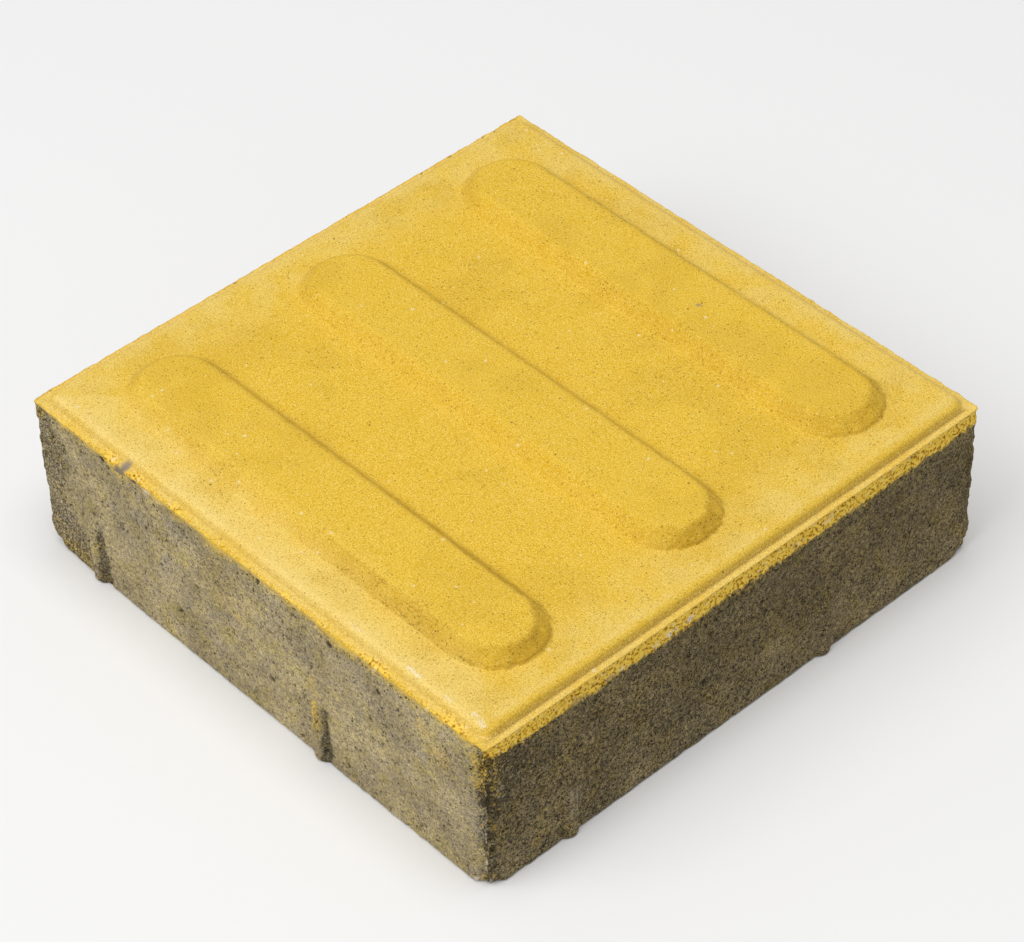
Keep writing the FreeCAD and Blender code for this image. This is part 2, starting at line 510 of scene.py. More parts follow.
# %% Zones of the sides
NIBS = (-74.5, 27.5)  # where two of them stand on the side along the bars
NIB_FLANK = 3.4  # from a nib's middle to the foot of its right-hand flank

torn = ease(-0.3, 0.4, over_meeting)
rolled = 1 - ease(0, 2.0, under_ledge)
on_left = ease(0.6, 0.9, -side_facing[:, 1])
on_right = ease(0.6, 0.9, side_facing[:, 0])
at_corner = ease(half_side - 7, half_side - 1, np.minimum(np.abs(x), np.abs(y)))
from_near_edge = np.hypot(x - half_side, y + half_side) + 3 * (soft_noise(side_place, 4, 53) - 0.5)
near_edge = 1 - ease(1.0, 6.5, from_near_edge)
left_reach = x + 0.35 * z + 16 * (soft_noise(side_place, 12, 54) - 0.5)
left_end = on_left * (1 - ease(-86, -62, left_reach))
from_flank = np.minimum(np.abs(x - NIBS[0] - NIB_FLANK), np.abs(x - NIBS[1] - NIB_FLANK))
from_flank = from_flank + 0.05 * z + 1.5 * (soft_noise(side_place, 3, 59) - 0.5)
# The right-hand flank of each nib lies in shade: it is coarser, and the backing paints shade on it.
by_nib = on_left * (1 - ease(1.2, 3.0, from_flank)) * (1 - ease(18, 26, z))
under_facing = on_left * ease(34, 50, z + 14 * (soft_noise(side_place, 9, 56) - 0.5))
right_near = on_right * (1 - ease(-98, 30, y))
random_coarse = ease(0.52, 0.72, 0.6 * soft_noise(side_place, 13, 50) + 0.4 * soft_noise(side_place, 4, 55))
coarse = (
    0.6 * at_corner + 0.6 * near_edge + left_end + by_nib
    + 0.1 * under_facing + 0.35 * right_near + 0.45 * random_coarse
)
coarse = np.clip(coarse, 0, 1)
print("the sides are coarse at", round(100 * (coarse > 0.5).mean()), "% of the points")

# %% [markdown]
# The sides sink by a sum, as the face does: lumps everywhere, pinholes and larger holes in the grey, tears
# in the yellow strip, and chips off the corners. Pebbles stand out of the near edge instead. Close under
# the ledge the sum is held back, because the ledge's own edge is never worn back that far.

# %% Grain and pits of the sides
PEBBLE_TOP = (30, 35)  # stones show in the near upright edge below this height
NOTCH_HEIGHT = 34.0  # a dark notch in that edge

lumps = 0.55 * soft_noise(side_place, 2.4, 51) + 0.45 * soft_noise(side_place, 1.25, 52)
chips = ease(0.38, 0.66, 0.6 * soft_noise(side_place, 3.4, 57) + 0.4 * soft_noise(side_place, 1.5, 58))
pinholes = scattered_pits(side_place, 1.9, 1.0, 0.16 + 0.55 * coarse, 60)
holes = scattered_pits(side_place, 5.0, 1.6, 0.04 + 0.30 * coarse, 70)
tears = scattered_pits(side_place, 2.3, 1.3, 0.6 * torn, 80)
pebbles = scattered_pits(side_place, 3.0, 1.5, 0.75 * near_edge * (1 - ease(*PEBBLE_TOP, z)), 85)
side_sink = (
    (0.40 + 0.45 * coarse + 0.4 * torn) * lumps
    + 0.75 * pinholes * (1 - torn)
    + 1.0 * holes * (1 - torn)
    + (0.3 + 0.6 * on_right) * tears
    + (0.5 * at_corner + 1.0 * near_edge) * chips
    + near_edge * (0.5 + 1.3 * lumps)
    - 0.8 * pebbles
)
side_sink = side_sink * (1 - 0.85 * on_right * rolled) * (1 - 0.65 * on_left * rolled)
notch = near_edge * (1 - ease(0.6, 2.4, np.abs(z - NOTCH_HEIGHT))) * chips
# The next value later paints pits, holes, tears and the notch darker, as the shade in them.
side_pit_shade = np.clip((0.75 * pinholes + 0.9 * holes) * (1 - torn) + 0.3 * tears, 0, 1)
side_pit_shade = side_pit_shade * (1 - 0.7 * near_edge) + 0.9 * notch

setback = np.zeros(rows)
setback[:len(LOWER_EDGE)] = [inset for _, inset in LOWER_EDGE]
side_sink = side_sink + np.tile(setback, columns)
side_skin = side_place - side_facing * side_sink[:, None]
print("the sides sink by", round(side_sink.mean(), 2), "mm on average")

# %% [markdown]
# A slab stands and slides on its lower corners, so they are knocked blunt. A boolean cut would leave a flat
# there. Drawing the points near each tip inwards, less and less with distance, leaves a worn one.

# %% Blunt lower corners
BLUNT_REACH, BLUNT_DEPTH = 9.0, 2.0

signs = np.sign(side_skin[:, :2])
tips = np.column_stack([signs * (half_side - 1), np.zeros(len(signs))])
nearness = np.clip(1 - np.linalg.norm(side_skin - tips, axis=1) / BLUNT_REACH, 0, 1)
inwards = np.column_stack([-signs, np.ones(len(signs))]) / math.sqrt(3)
side_skin = side_skin + inwards * (BLUNT_DEPTH * nearness ** 2)[:, None]
side_skin = side_skin.reshape(columns, rows, 3)
side_pit_shade = side_pit_shade.reshape(columns, rows)
print("lower corners blunted by up to", BLUNT_DEPTH, "mm")

# %% [markdown]
# The ledge has to end where the worn side does. Its outer edge is set back a little further than the row of
# points below it, so that it never overhangs and throws a dark line, and the ledge's last millimetres are
# squeezed together to make room.

# %% Edge shared by the ledge and the sides
SQUEEZED = 2.4  # width of the ledge that gives way when its edge is worn back
EDGE_SETBACK, MOST_SETBACK = 0.25, 0.9

edge_setback = np.minimum(side_sink.reshape(columns, rows)[:, -2] + EDGE_SETBACK, MOST_SETBACK)
edge_setback *= 1 - 0.9 * ease(0.6, 0.9, outward[:, 0])
setback_by_side = np.split(edge_setback, side_starts[1:-1])
face_grid = face_place.reshape(count_x, count_y, 3)
face_skin = face_skin.reshape(count_x, count_y, 3)
for side, (axis, sign) in enumerate(((1, 1), (0, -1), (1, -1), (0, 1))):
    run = np.append(setback_by_side[side], setback_by_side[(side + 1) % 4][0])
    run = run if side < 2 else run[::-1]
    inward = half_side - np.abs(face_grid[..., axis])
    share = np.clip(1 - inward / SQUEEZED, 0, 1) * (face_grid[..., axis] * sign < 0)
    face_skin[..., axis] += sign * share * (run[:, None] if axis == 1 else run[None, :])
face_skin = face_skin.reshape(-1, 3)
side_skin[:, -1] = face_skin[edge_numbers]
side_pit_shade[:, -1] = face_pit_shade[edge_numbers]
print("the edge is worn back by", round(edge_setback.mean(), 2), "mm on average")

# %% [markdown]
# ## Single marks
# Some marks aren't spread all over but sit in one place. On the facing they are a grey scratch across the
# ledge, white glints along the left shoulder painted as highlights, a few white stones in the strip, pale
# stones in the torn edge and spots where the ledge itself tore.
# A painted mask would need an image. Here each mark is a rounded patch, given by its middle, its reach along
# the three axes and its strength.

# %% Marks on the facing
GREY_FLECKS = (
    ((-56.0, -96.8, 57.3), (2.0, 3.8, 3), 1.0),
    ((-57.2, -98.5, 55.2), (3.2, 1.6, 2.4), 1.0),
    ((98.5, -51, 51.6), (2, 2.4, 0.9), 0.7),
    ((98.5, -64, 51.6), (2, 2.6, 0.9), 0.7),
    ((15, 66, 64), (1.2, 0.8, 1), 0.8),
)
WHITE_GLINTS_AND_STONES = (
    ((91.8, -92.6, 59.5), (2.2, 1.2, 1.5), 1.0),
    ((88.5, -92.2, 59.5), (1.4, 0.8, 1), 0.8),
    ((79, -93.4, 59.2), (3.4, 0.6, 1), 0.9),
    ((66, -93.2, 59.4), (4.0, 0.6, 1), 0.9),
    ((41, -93.4, 59.2), (2.6, 0.6, 1), 0.9),
    ((76, -98.5, 56), (1.2, 1, 1.0), 0.8),
    ((98.5, -27, 52.6), (2, 2.4, 1.2), 1.0),
    ((98.5, -34, 52.0), (2, 1.6, 0.9), 0.9),
    ((98.5, 35, 53.5), (2, 1.8, 0.9), 0.7),
)
PALE_STONES = (
    ((98.5, -20.6, 52.6), (2, 1.5, 1.0), 1.0),
    ((98.5, -28.4, 52.4), (2, 1.1, 0.8), 1.0),
    ((98.5, -47, 51.8), (2, 1.0, 0.7), 0.8),
    ((-45, -98.5, 54.8), (1.9, 2, 1.3), 0.8),
    ((-39.5, -98.5, 54.4), (2.6, 2, 0.7), 0.7),
    ((55, -98.5, 54.8), (1.6, 2, 1.1), 0.7),
)
TORN_SPOTS = (
    ((-62.6, -97.6, 56.2), (3.6, 2.4, 2.2), 1.0),
    ((-50.5, -97.4, 56.6), (4.8, 2.6, 2.4), 1.0),
    ((-33, -97.8, 56.4), (3.6, 2.2, 1.8), 0.9),
    ((18, -97.8, 56.4), (4.0, 2.2, 1.8), 0.8),
    ((56, -97.6, 56.6), (7.0, 2.4, 2.0), 0.9),
    ((84, -97.4, 56.8), (9.0, 2.6, 2.2), 0.9),
)
print(len(GREY_FLECKS) + len(WHITE_GLINTS_AND_STONES) + len(PALE_STONES) + len(TORN_SPOTS), "marks on the facing")

# %% [markdown]
# On the backing, yellow paste ran down over the near edge and one nib, and two holes open in the near edge,
# painted dark as the shade in them. Two pale streaks on a nib of the right-hand side are painted highlights
# where its flank catches the light.

# %% Marks on the backing
DARK_HOLE_SHADES = (
    ((97.6, -97.6, 35.5), (2.4, 2.4, 1.8), 1.0),
    ((97.6, -97.6, 53.0), (1.6, 1.6, 1.0), 0.8),
)
NIB_HIGHLIGHTS = (
    ((100, -67.5, 12), (2, 0.45, 12), 0.3),
    ((100, -65.5, 16), (2, 0.35, 7), 0.3),
)
YELLOW_STAINS = (
    ((96.8, -97.2, 46.5), (4.4, 5.0, 11), 1.0),
    ((97, -97, 2.5), (6, 5, 2.2), 0.8),
    ((80, -98.5, 41), (5.5, 2, 6), 0.45),
    ((74, -98.5, 48), (5.0, 2, 4), 0.35),
    ((27.2, -99.6, 19), (2.2, 2, 8), 0.9),
    ((26.6, -98.6, 29), (1.8, 2, 5), 0.5),
    ((-84, -98, 3), (14, 2, 4), 0.5),
    ((-96.5, -98.5, 53), (2.5, 2, 5), 0.9),
    ((-10, -98.5, 40), (16, 2, 10), 0.22),
    ((98.5, 3, 50.5), (2, 6, 2.5), 0.5),
    ((98.5, -80, 7), (2, 2, 2.4), 0.5),
)
print(len(DARK_HOLE_SHADES) + len(NIB_HIGHLIGHTS) + len(YELLOW_STAINS), "marks on the backing")

# %% [markdown]
# A mark's strength falls off with the distance from its middle, and noise added to that distance frays its
# outline.

# %% Strength of a mark
def stains(points, marks, seed):
    """How strongly each point is marked, from 0 to 1."""
    frayed = 0.9 * (soft_noise(points, 1.4, seed) - 0.5) + 0.7 * (soft_noise(points, 3.2, seed + 1) - 0.5)
    strongest = np.zeros(len(points))
    for middle, reach, strength in marks:
        away = np.linalg.norm((points - middle) / reach, axis=1) + frayed
        strongest = np.maximum(strongest, strength * (1 - ease(0.4, 1.2, away)))
    return strongest


# Most of these white marks are painted glints along the shoulder's highlight.
print("white crumbs cover", (stains(face_skin, WHITE_GLINTS_AND_STONES, 110) > 0.5).sum(), "points of the face")

# %% [markdown]
# ## Two closed meshes
# Each layer becomes one closed mesh. Faces are quads between neighbouring points, and the hidden meeting
# plane and the underside are closed by a ring and one large flat face. A flat map is laid out beside each
# mesh, the top as one square and the sides as strips, so that its colours can be baked to a picture without
# stretching.

# %% Mesh helpers
def grid_quads(grid):
    """Quads between the neighbours of a two-way grid of numbers or of map places."""
    return np.stack([grid[:-1, :-1], grid[1:, :-1], grid[1:, 1:], grid[:-1, 1:]], axis=2)


def map_grid(across, along, left, low, wide, high):
    """Places on the flat map for a grid of points that fills one rectangle of it."""
    u, v = np.meshgrid(left + wide * across, low + high * along, indexing="ij")
    return np.stack([u, v], axis=-1)


class Skin:
    """Points, faces, map places and named values of one mesh while it is put together."""

    def __init__(self):
        self.points = []
        self.faces = []
        self.places = []

    def add_points(self, points):
        first = sum(len(some) for some in self.points)
        self.points.append(points.reshape(-1, 3))
        return first + np.arange(points.reshape(-1, 3).shape[0])

    def add_grid(self, grid, places):
        self.faces += grid_quads(grid).reshape(-1, 4).tolist()
        self.places.append(grid_quads(places).reshape(-1, 2))

    def add_sides(self, ring_rows, rectangle, step):
        """The four sides of one layer, each a strip of the flat map one step above the one before."""
        left, low, wide, high = rectangle
        closed = np.concatenate([ring_rows, ring_rows[:1]])
        for side in range(4):
            part = closed[side_starts[side]:side_starts[side + 1] + 1]
            across = np.linspace(0, 1, part.shape[0])
            along = np.linspace(0, 1, part.shape[1])
            self.add_grid(part, map_grid(across, along, left, low + side * step, wide, high))

    def add_ring(self, first, second, rectangle):
        """One closed row of quads between two loops of points."""
        ring = np.column_stack([first, second])
        ring = np.concatenate([ring, ring[:1]])
        self.add_grid(ring, map_grid(np.linspace(0, 1, len(ring)), np.linspace(0, 1, 2), *rectangle))

    def add_flat(self, ring, square, turned):
        """One flat face inside a ring, mapped from above into a square of the flat map."""
        left, low, wide = square
        ring = ring[::-1] if turned else ring
        spots_inside = np.concatenate(self.points)[ring, :2]
        self.faces.append(ring.tolist())
        self.places.append(np.array([left, low]) + wide * (spots_inside / (2 * half_side) + 0.5))

    def finish(self, name, values):
        mesh = bpy.data.meshes.new(name)
        mesh.from_pydata(np.concatenate(self.points) * MM, [], self.faces)
        mesh.uv_layers.new(name="OFBake").data.foreach_set("uv", np.concatenate(self.places).ravel())
        for title, numbers_in in values.items():
            mesh.attributes.new(title, "FLOAT", "POINT").data.foreach_set("value", numbers_in)
        mesh.polygons.foreach_set("use_smooth", [len(face) == 4 for face in self.faces])
        mesh.validate()
        made = bpy.data.objects.new(name, mesh)
        bpy.context.scene.collection.objects.link(made)
        mesh.calc_loop_triangles()
        print(name, "has", len(mesh.vertices), "points and", len(mesh.loop_triangles), "triangles")
        return made


# %% [markdown]
# The facing is the grid of the face, the strip of the sides above the meeting line, and a hidden underside.
# Rectangles on the flat map are given by their left, their lower edge, their width and their height.

# %% Facing mesh
SEAM_INSET = 5.0  # from the sides to the flat part of the layers' meeting plane
FACE_MAP = (0.005, 0.005, 0.86, 0.86)
STRIP_MAP, STRIP_STEP = (0.005, 0.875, 0.86, 0.026), 0.031
SEAM_RING_MAP = (0.875, 0.2, 0.12, 0.01)
SEAM_MAP = (0.875, 0.01, 0.12)

facing = Skin()
face_numbers = facing.add_points(face_skin).reshape(count_x, count_y)
map_across = (lines_x + half_side) / (2 * half_side)
map_along = (lines_y + half_side) / (2 * half_side)
facing.add_grid(face_numbers, map_grid(map_across, map_along, *FACE_MAP))

strip_skin = side_skin[:, meeting_row:-1]
strip_numbers = facing.add_points(strip_skin).reshape(columns, STRIP_ROWS)
facing.add_sides(np.column_stack([strip_numbers, edge_numbers]), STRIP_MAP, STRIP_STEP)

seam_plan = edge_plan * (1 - SEAM_INSET / half_side)
seam_ring = np.column_stack([seam_plan, np.full(columns, bond_height)])
seam_numbers = facing.add_points(seam_ring)
facing.add_ring(seam_numbers, strip_numbers[:, 0], SEAM_RING_MAP)
facing.add_flat(seam_numbers, SEAM_MAP, True)
facing_points = np.concatenate([face_skin, strip_skin.reshape(-1, 3), seam_ring])
print("facing put together from", len(facing.faces), "faces")

# %% [markdown]
# The finish has to know where it is torn, pitted or marked, and where sheen and shade are painted. A named
# value on each point of the mesh carries that to the shader, and moves with the mesh wherever the slab is
# used.

# %% Values on the facing
CLEAR_OF_LINE = 9.0  # how far the face counts as above the layers' meeting line, at its edge


def strip_of(side_values):
    """A value of the sides, on the facing's strip only."""
    return side_values.reshape(columns, rows)[:, meeting_row:-1].ravel()


def on_facing(face, strip=0.0):
    """One number for each point of the facing: on the face, on the strip, and 0 where it is hidden."""
    face_part = np.broadcast_to(face, len(face_skin))
    strip_part = np.broadcast_to(strip, columns * STRIP_ROWS)
    return np.concatenate([face_part, strip_part, np.zeros(columns)])


strip_right = strip_of(on_right)
pale = ease(-26, -1, past_flat) * (1 - 0.6 * crumbly) * (1 - right_end)
pale = pale * (1 - 0.9 * ease(0.3, 3.5, above_flat))
pale = pale * (1 - 0.2 * on_left_rim * ease(2, 3, past_flat))
# A paler coat on the left shoulder, where the light falls: a painted highlight.
left_shoulder_sheen = on_left_rim * ease(-20, 0, past_flat) * (1 - ease(1.2, 2.8, past_flat))
torn_edge = on_facing(0.5 * crumbly * on_left_rim, 0.15 + 0.85 * strip_right)
facing_values = {
    "pit_shade": on_facing(face_pit_shade, strip_of(side_pit_shade)),
    "open_grain_and_shade": on_facing(open_grain_and_shade, 0.1),
    "torn": np.maximum(torn_edge, stains(facing_points, TORN_SPOTS, 150)),
    "pale_stone": stains(facing_points, PALE_STONES, 160),
    "pale": on_facing(pale, 1 - strip_right),
    "left_shoulder_sheen": on_facing(left_shoulder_sheen),
    "burnished": on_facing(burnished * (1 - 0.8 * right_end)),
    "crease": on_facing(crease * (0.25 + 0.75 * on_right_rim) * (1 - on_far_rim)),
    "foot": on_facing(np.clip(near_flank * towards_light * torn_line, 0, 1)),
    "right": on_facing(0.0, strip_right),
    "over_meeting": on_facing(CLEAR_OF_LINE + from_edge, strip_of(over_meeting)),
    "grey_fleck": stains(facing_points, GREY_FLECKS, 100),
    "white_glint_and_stone": stains(facing_points, WHITE_GLINTS_AND_STONES, 110),
}
facing_object = facing.finish("yellow_facing", facing_values)

# %% [markdown]
# The backing is made in the same way from the sides below the meeting line, with a hidden top that matches
# the facing's underside and a flat face to rest on.

# %% Backing mesh
UNDERSIDE_INSET = 3.5
SIDE_MAP, SIDE_STEP = (0.005, 0.005, 0.6, 0.165), 0.175
TOP_RING_MAP = (0.61, 0.6, 0.38, 0.01)
TOP_MAP = (0.61, 0.62, 0.1)
LOW_RING_MAP = (0.61, 0.4, 0.38, 0.01)
UNDERSIDE_MAP = (0.61, 0.005, 0.385)

backing = Skin()
backing_skin = side_skin[:, :meeting_row + 1]
backing_numbers = backing.add_points(backing_skin).reshape(columns, meeting_row + 1)
backing.add_sides(backing_numbers, SIDE_MAP, SIDE_STEP)

top_numbers = backing.add_points(seam_ring)
backing.add_ring(backing_numbers[:, -1], top_numbers, TOP_RING_MAP)
backing.add_flat(top_numbers, TOP_MAP, False)

low_plan = edge_plan * (1 - UNDERSIDE_INSET / half_side)
low_points = np.column_stack([low_plan, np.zeros(columns)])
low_numbers = backing.add_points(low_points)
backing.add_ring(low_numbers, backing_numbers[:, 0], LOW_RING_MAP)
backing.add_flat(low_numbers, UNDERSIDE_MAP, True)
backing_points = np.concatenate([backing_skin.reshape(-1, 3), seam_ring, low_points])
print("backing put together from", len(backing.faces), "faces")

# %% [markdown]
# The backing's values say where it is coarse or stained, where shade is painted on the right-hand side and on
# the shaded flank beside each nib, and how far a point lies below the layers' meeting line.

# %% Values on the backing
def on_backing(side_values, underside=0.0):
    """One number for each point of the backing: on its sides, 0 on its hidden top, and on its underside."""
    shown = side_values.reshape(columns, rows)[:, :meeting_row + 1].ravel()
    return np.concatenate([shown, np.zeros(columns), np.full(columns, underside)])


stones = 0.2 * stains(backing_points, PALE_STONES, 160)
backing_values = {
    "pit_shade": np.maximum(on_backing(side_pit_shade), stains(backing_points, DARK_HOLE_SHADES, 130)),
    "coarse": on_backing(coarse),
    "right_side_shade": on_backing(on_right),
    "below_meeting": on_backing(-over_meeting, bond_height),
    "yellow_stain": stains(backing_points, YELLOW_STAINS, 120),
    "nib_shade": on_backing(by_nib),
    "pebble": np.maximum(on_backing(pebbles), stones),
    "nib_highlight": stains(backing_points, NIB_HIGHLIGHTS, 140),
    "height": backing_points[:, 2],
}
backing_object = backing.finish("grey_backing", backing_values)

# %% [markdown]
# ## Node helpers
# The finishes are built from a few kinds of node, over and over: noise, scattered dots, packed grains and a
# smooth step. A finish starts from one ground colour, and each coat of paint covers it where a mask says so.
# A short function for each keeps the finishes readable. Sizes are given in millimetres.

# %% Node helpers
class Finish:
    """A concrete finish: its shader, the place on the slab, the colour so far, and ways to add nodes."""

    def __init__(self, name, ground):
        self.material = bpy.data.materials.new(name)
        self.material.use_nodes = True
        self.tree = self.material.node_tree
        self.shader = self.tree.nodes["Principled BSDF"]
        self.place = self.add("ShaderNodeTexCoord").outputs["Object"]
        self.colour = ground

    def plug(self, value, socket):
        """Link another node's output to a socket, or set the socket to a number or a colour."""
        if isinstance(value, bpy.types.NodeSocket):
            self.tree.links.new(value, socket)
        else:
            socket.default_value = value

    def add(self, kind, *sockets, **properties):
        """A node of that kind, with its first sockets given in order."""
        made = self.tree.nodes.new(kind)
        for key, value in properties.items():
            setattr(made, key, value)
        for socket, value in zip(made.inputs, sockets):
            self.plug(value, socket)
        return made

    def value(self, name):
        return self.add("ShaderNodeAttribute", attribute_name=name).outputs["Fac"]

    def math(self, operation, first, second=0.0):
        return self.add("ShaderNodeMath", first, second, operation=operation).outputs[0]

    def times(self, first, second):
        return self.math("MULTIPLY", first, second)

    def times_plus(self, value, times, plus):
        """The value times one number or output, plus another."""
        return self.add("ShaderNodeMath", value, times, plus, operation="MULTIPLY_ADD").outputs[0]

    def step(self, value, low, high):
        """Smooth step from 0 at low to 1 at high."""
        made = self.add("ShaderNodeMapRange", value, low, high, interpolation_type="SMOOTHSTEP")
        return made.outputs[0]

    def field(self, kind, size, place, **properties):
        """A texture node with features about that size, at a place on the slab."""
        made = self.add(kind, **properties)
        self.plug(place, made.inputs["Vector"])
        made.inputs["Scale"].default_value = 1 / (size * MM)
        return made

    def noise(self, size, detail=2.0, place=None):
        made = self.field("ShaderNodeTexNoise", size, place or self.place)
        made.inputs["Detail"].default_value = detail
        return made.outputs[0]

    def shaken(self, size, amount):
        """The place, pushed about at random so that what is drawn there has ragged edges."""
        made = self.field("ShaderNodeTexNoise", size, self.place)
        middle = self.add("ShaderNodeVectorMath", made.outputs[1], (0.5, 0.5, 0.5), operation="SUBTRACT")
        push = self.add("ShaderNodeVectorMath", middle.outputs[0], operation="SCALE")
        push.inputs["Scale"].default_value = amount * MM
        return self.add("ShaderNodeVectorMath", self.place, push.outputs[0], operation="ADD").outputs[0]

    def dots(self, spacing, radius, share, place):
        """Mask of dots up to a radius, one in each cell of that spacing, for a share of the cells."""
        cells = self.field("ShaderNodeTexVoronoi", spacing, place)
        draws = self.add("ShaderNodeSeparateColor", cells.outputs["Color"])
        size = self.times_plus(draws.outputs[1], 0.6 * radius / spacing, 0.4 * radius / spacing)
        away = self.math("DIVIDE", cells.outputs["Distance"], size)
        there = self.math("LESS_THAN", draws.outputs[0], share)
        return self.times(self.step(away, 1.0, 0.5), there)

    def grains(self, size, place):
        """Closely packed grains: the distance to the next gap, and a random number for each grain."""
        gaps = self.field("ShaderNodeTexVoronoi", size, place, feature="DISTANCE_TO_EDGE")
        cells = self.field("ShaderNodeTexVoronoi", size, place)
        draws = self.add("ShaderNodeSeparateColor", cells.outputs["Color"])
        return gaps.outputs["Distance"], draws.outputs[0]

    def blend(self, factor, first, second, mode="MIX"):
        """Two colours blended, each an output or three numbers."""
        made = self.add("ShaderNodeMix", factor, data_type="RGBA", blend_type=mode)
        for socket, colour in ((made.inputs[6], first), (made.inputs[7], second)):
            self.plug(colour if isinstance(colour, bpy.types.NodeSocket) else (*colour, 1), socket)
        return made.outputs[2]

    def paint(self, mask, colour, strength=None):
        """Cover the colour so far with another one where the mask is 1, at that strength."""
        share = mask if strength is None else self.times(mask, strength)
        self.colour = self.blend(share, self.colour, colour)

    def darken(self, factor):
        """Multiply the colour so far by a grey factor."""
        grey_factor = self.add("ShaderNodeCombineColor", factor, factor, factor).outputs[0]
        self.colour = self.blend(1.0, self.colour, grey_factor, "MULTIPLY")

    def coat(self, roughness, shine, height, depth):
        """Give the shader the colour, its dullness and shine, and a fine relief of that depth."""
        relief = self.add("ShaderNodeBump")
        relief.inputs["Distance"].default_value = depth * MM
        self.plug(height, relief.inputs["Height"])
        self.plug(self.colour, self.shader.inputs["Base Color"])
        self.plug(roughness, self.shader.inputs["Roughness"])
        self.plug(shine, self.shader.inputs["Specular IOR Level"])
        self.plug(relief.outputs[0], self.shader.inputs["Normal"])


# %% [markdown]
# The border between the two concretes is never a clean line. Grains of either reach over it, and on the left
# it is smeared soft. The meshes part along a plain wavy row of points, and both finishes then paint the other
# concrete's colour a little past that row, with the same noise, so that the parting can't be seen.

# %% Border of the layers
BORDER_LUMP, BORDER_SWING = 1.5, 4.0  # size of its lumps, and how far they swing up and down
SOFT_LEFT, SOFT_RIGHT = 2.6, 0.7  # half the width over which one colour fades into the other


def border(finish, over_meeting_line, right_side):
    """How far a place lies above the frayed border, from -1 to 1 across its soft width."""
    fray = finish.times_plus(finish.noise(BORDER_LUMP, 4), BORDER_SWING, -BORDER_SWING / 2)
    softness = finish.times_plus(right_side, SOFT_RIGHT - SOFT_LEFT, SOFT_LEFT)
    return finish.math("DIVIDE", finish.math("ADD", over_meeting_line, fray), softness)


print("the border strays by", BORDER_SWING / 2, "mm and fades over", 2 * SOFT_LEFT, "mm on the left")

# %% [markdown]
# ## Yellow facing concrete
# Fine sand in coloured cement. Up close it is never one yellow: the border of the face is paler than its
# middle, where the plate pressed less paste to the top, and open grain is deeper and warmer. The left
# shoulder gets a paler coat as a painted highlight, the bar ends that face away from the light a deeper one
# as painted shade, and the crease under the shoulder a brown one as painted shade. One flat yellow with a
# rough shader would look like painted plastic.

# %% Yellow paste
PASTE = (0.80, 0.50, 0.022)
PALE_PASTE = (0.83, 0.58, 0.115)
SHEEN_PALE = (0.93, 0.71, 0.23)
DEEP_GRAIN_AND_SHADE = (0.51, 0.295, 0.009)
CREASE_SHADE_BROWN = (0.37, 0.21, 0.008)

yellow = Finish("facing_concrete", PASTE)
open_and_shade, torn_value = yellow.value("open_grain_and_shade"), yellow.value("torn")
clouds = yellow.step(yellow.noise(10, 4), 0.32, 0.68)
cloudy_pale = yellow.times_plus(clouds, 0.8, 0.3)
yellow.paint(yellow.times_plus(yellow.value("pale"), cloudy_pale, yellow.times(clouds, 0.10)), PALE_PASTE)
yellow.paint(yellow.value("left_shoulder_sheen"), SHEEN_PALE, 0.45)
# A deeper coat on open grain, and painted shade on the bar ends that face away from the light.
yellow.paint(open_and_shade, DEEP_GRAIN_AND_SHADE, 0.95)
# Painted shade in the crease under the shoulder, strongest on the right-hand rim.
yellow.paint(yellow.value("crease"), CREASE_SHADE_BROWN, 0.9)
print("paste:", len(yellow.tree.nodes), "nodes")

# %% [markdown]
# Where the facing's edge tore, the tops of its lumps are painted bright as a painted highlight, and the gaps
# between them get a golden-brown painted shade. The same lumps later give that edge its relief.

# %% Torn edge of the facing
RIDGE_HIGHLIGHT = (1.0, 0.70, 0.10)
TORN_BROWN = (1.0, 0.57, 0.012)
GOLDEN_PIT_SHADE = (0.30, 0.14, 0.005)
TORN_GRAIN = (1.0, 0.82, 0.42)

ragged = yellow.shaken(0.6, 0.4)
torn_lumps = yellow.noise(1.0, 4, ragged)
torn_gap_shade = yellow.times(yellow.step(torn_lumps, 0.49, 0.38), 0.95)
torn_grain = yellow.times(yellow.dots(1.7, 1.0, 0.45, ragged), 0.8)
torn_colour = yellow.blend(yellow.step(torn_lumps, 0.44, 0.56), TORN_BROWN, RIDGE_HIGHLIGHT)
torn_colour = yellow.blend(torn_gap_shade, torn_colour, GOLDEN_PIT_SHADE)
torn_colour = yellow.blend(torn_grain, torn_colour, TORN_GRAIN)
yellow.paint(torn_value, torn_colour)
print("torn edge:", len(yellow.tree.nodes), "nodes so far")

# %% [markdown]
# Sand shows all over as bright and brown specks, finer than the mesh. Pits and the thin cracks along the
# foot of a bar where it tore are painted brown as the shade in them, with single grains of rose, white and
# nearly black between them.

# %% Sand and pits of the facing
BRIGHT_SAND = (0.95, 0.725, 0.21)
BROWN_SAND = (0.48, 0.26, 0.010)
PIT_SHADE_BROWN = (0.26, 0.145, 0.010)
ROSY_SAND = (0.72, 0.43, 0.10)
DARK_GRAIN = (0.17, 0.09, 0.015)
PALE_GRAIN = (0.88, 0.72, 0.38)
DRAWN_OUT = (0.3, 1.0, 1.0)  # stretches the cracks along the bars

sand, fine_sand = yellow.noise(0.50, 2), yellow.noise(0.22, 1)
speck = yellow.times_plus(sand, 0.6, fine_sand)
sandy = yellow.times_plus(torn_value, -0.65, 0.85)
bright_sandy = yellow.times_plus(open_and_shade, -0.45, sandy)
yellow.paint(yellow.step(speck, 0.80, 1.03), BRIGHT_SAND, bright_sandy)
yellow.paint(yellow.step(speck, 0.80, 0.52), BROWN_SAND, sandy)

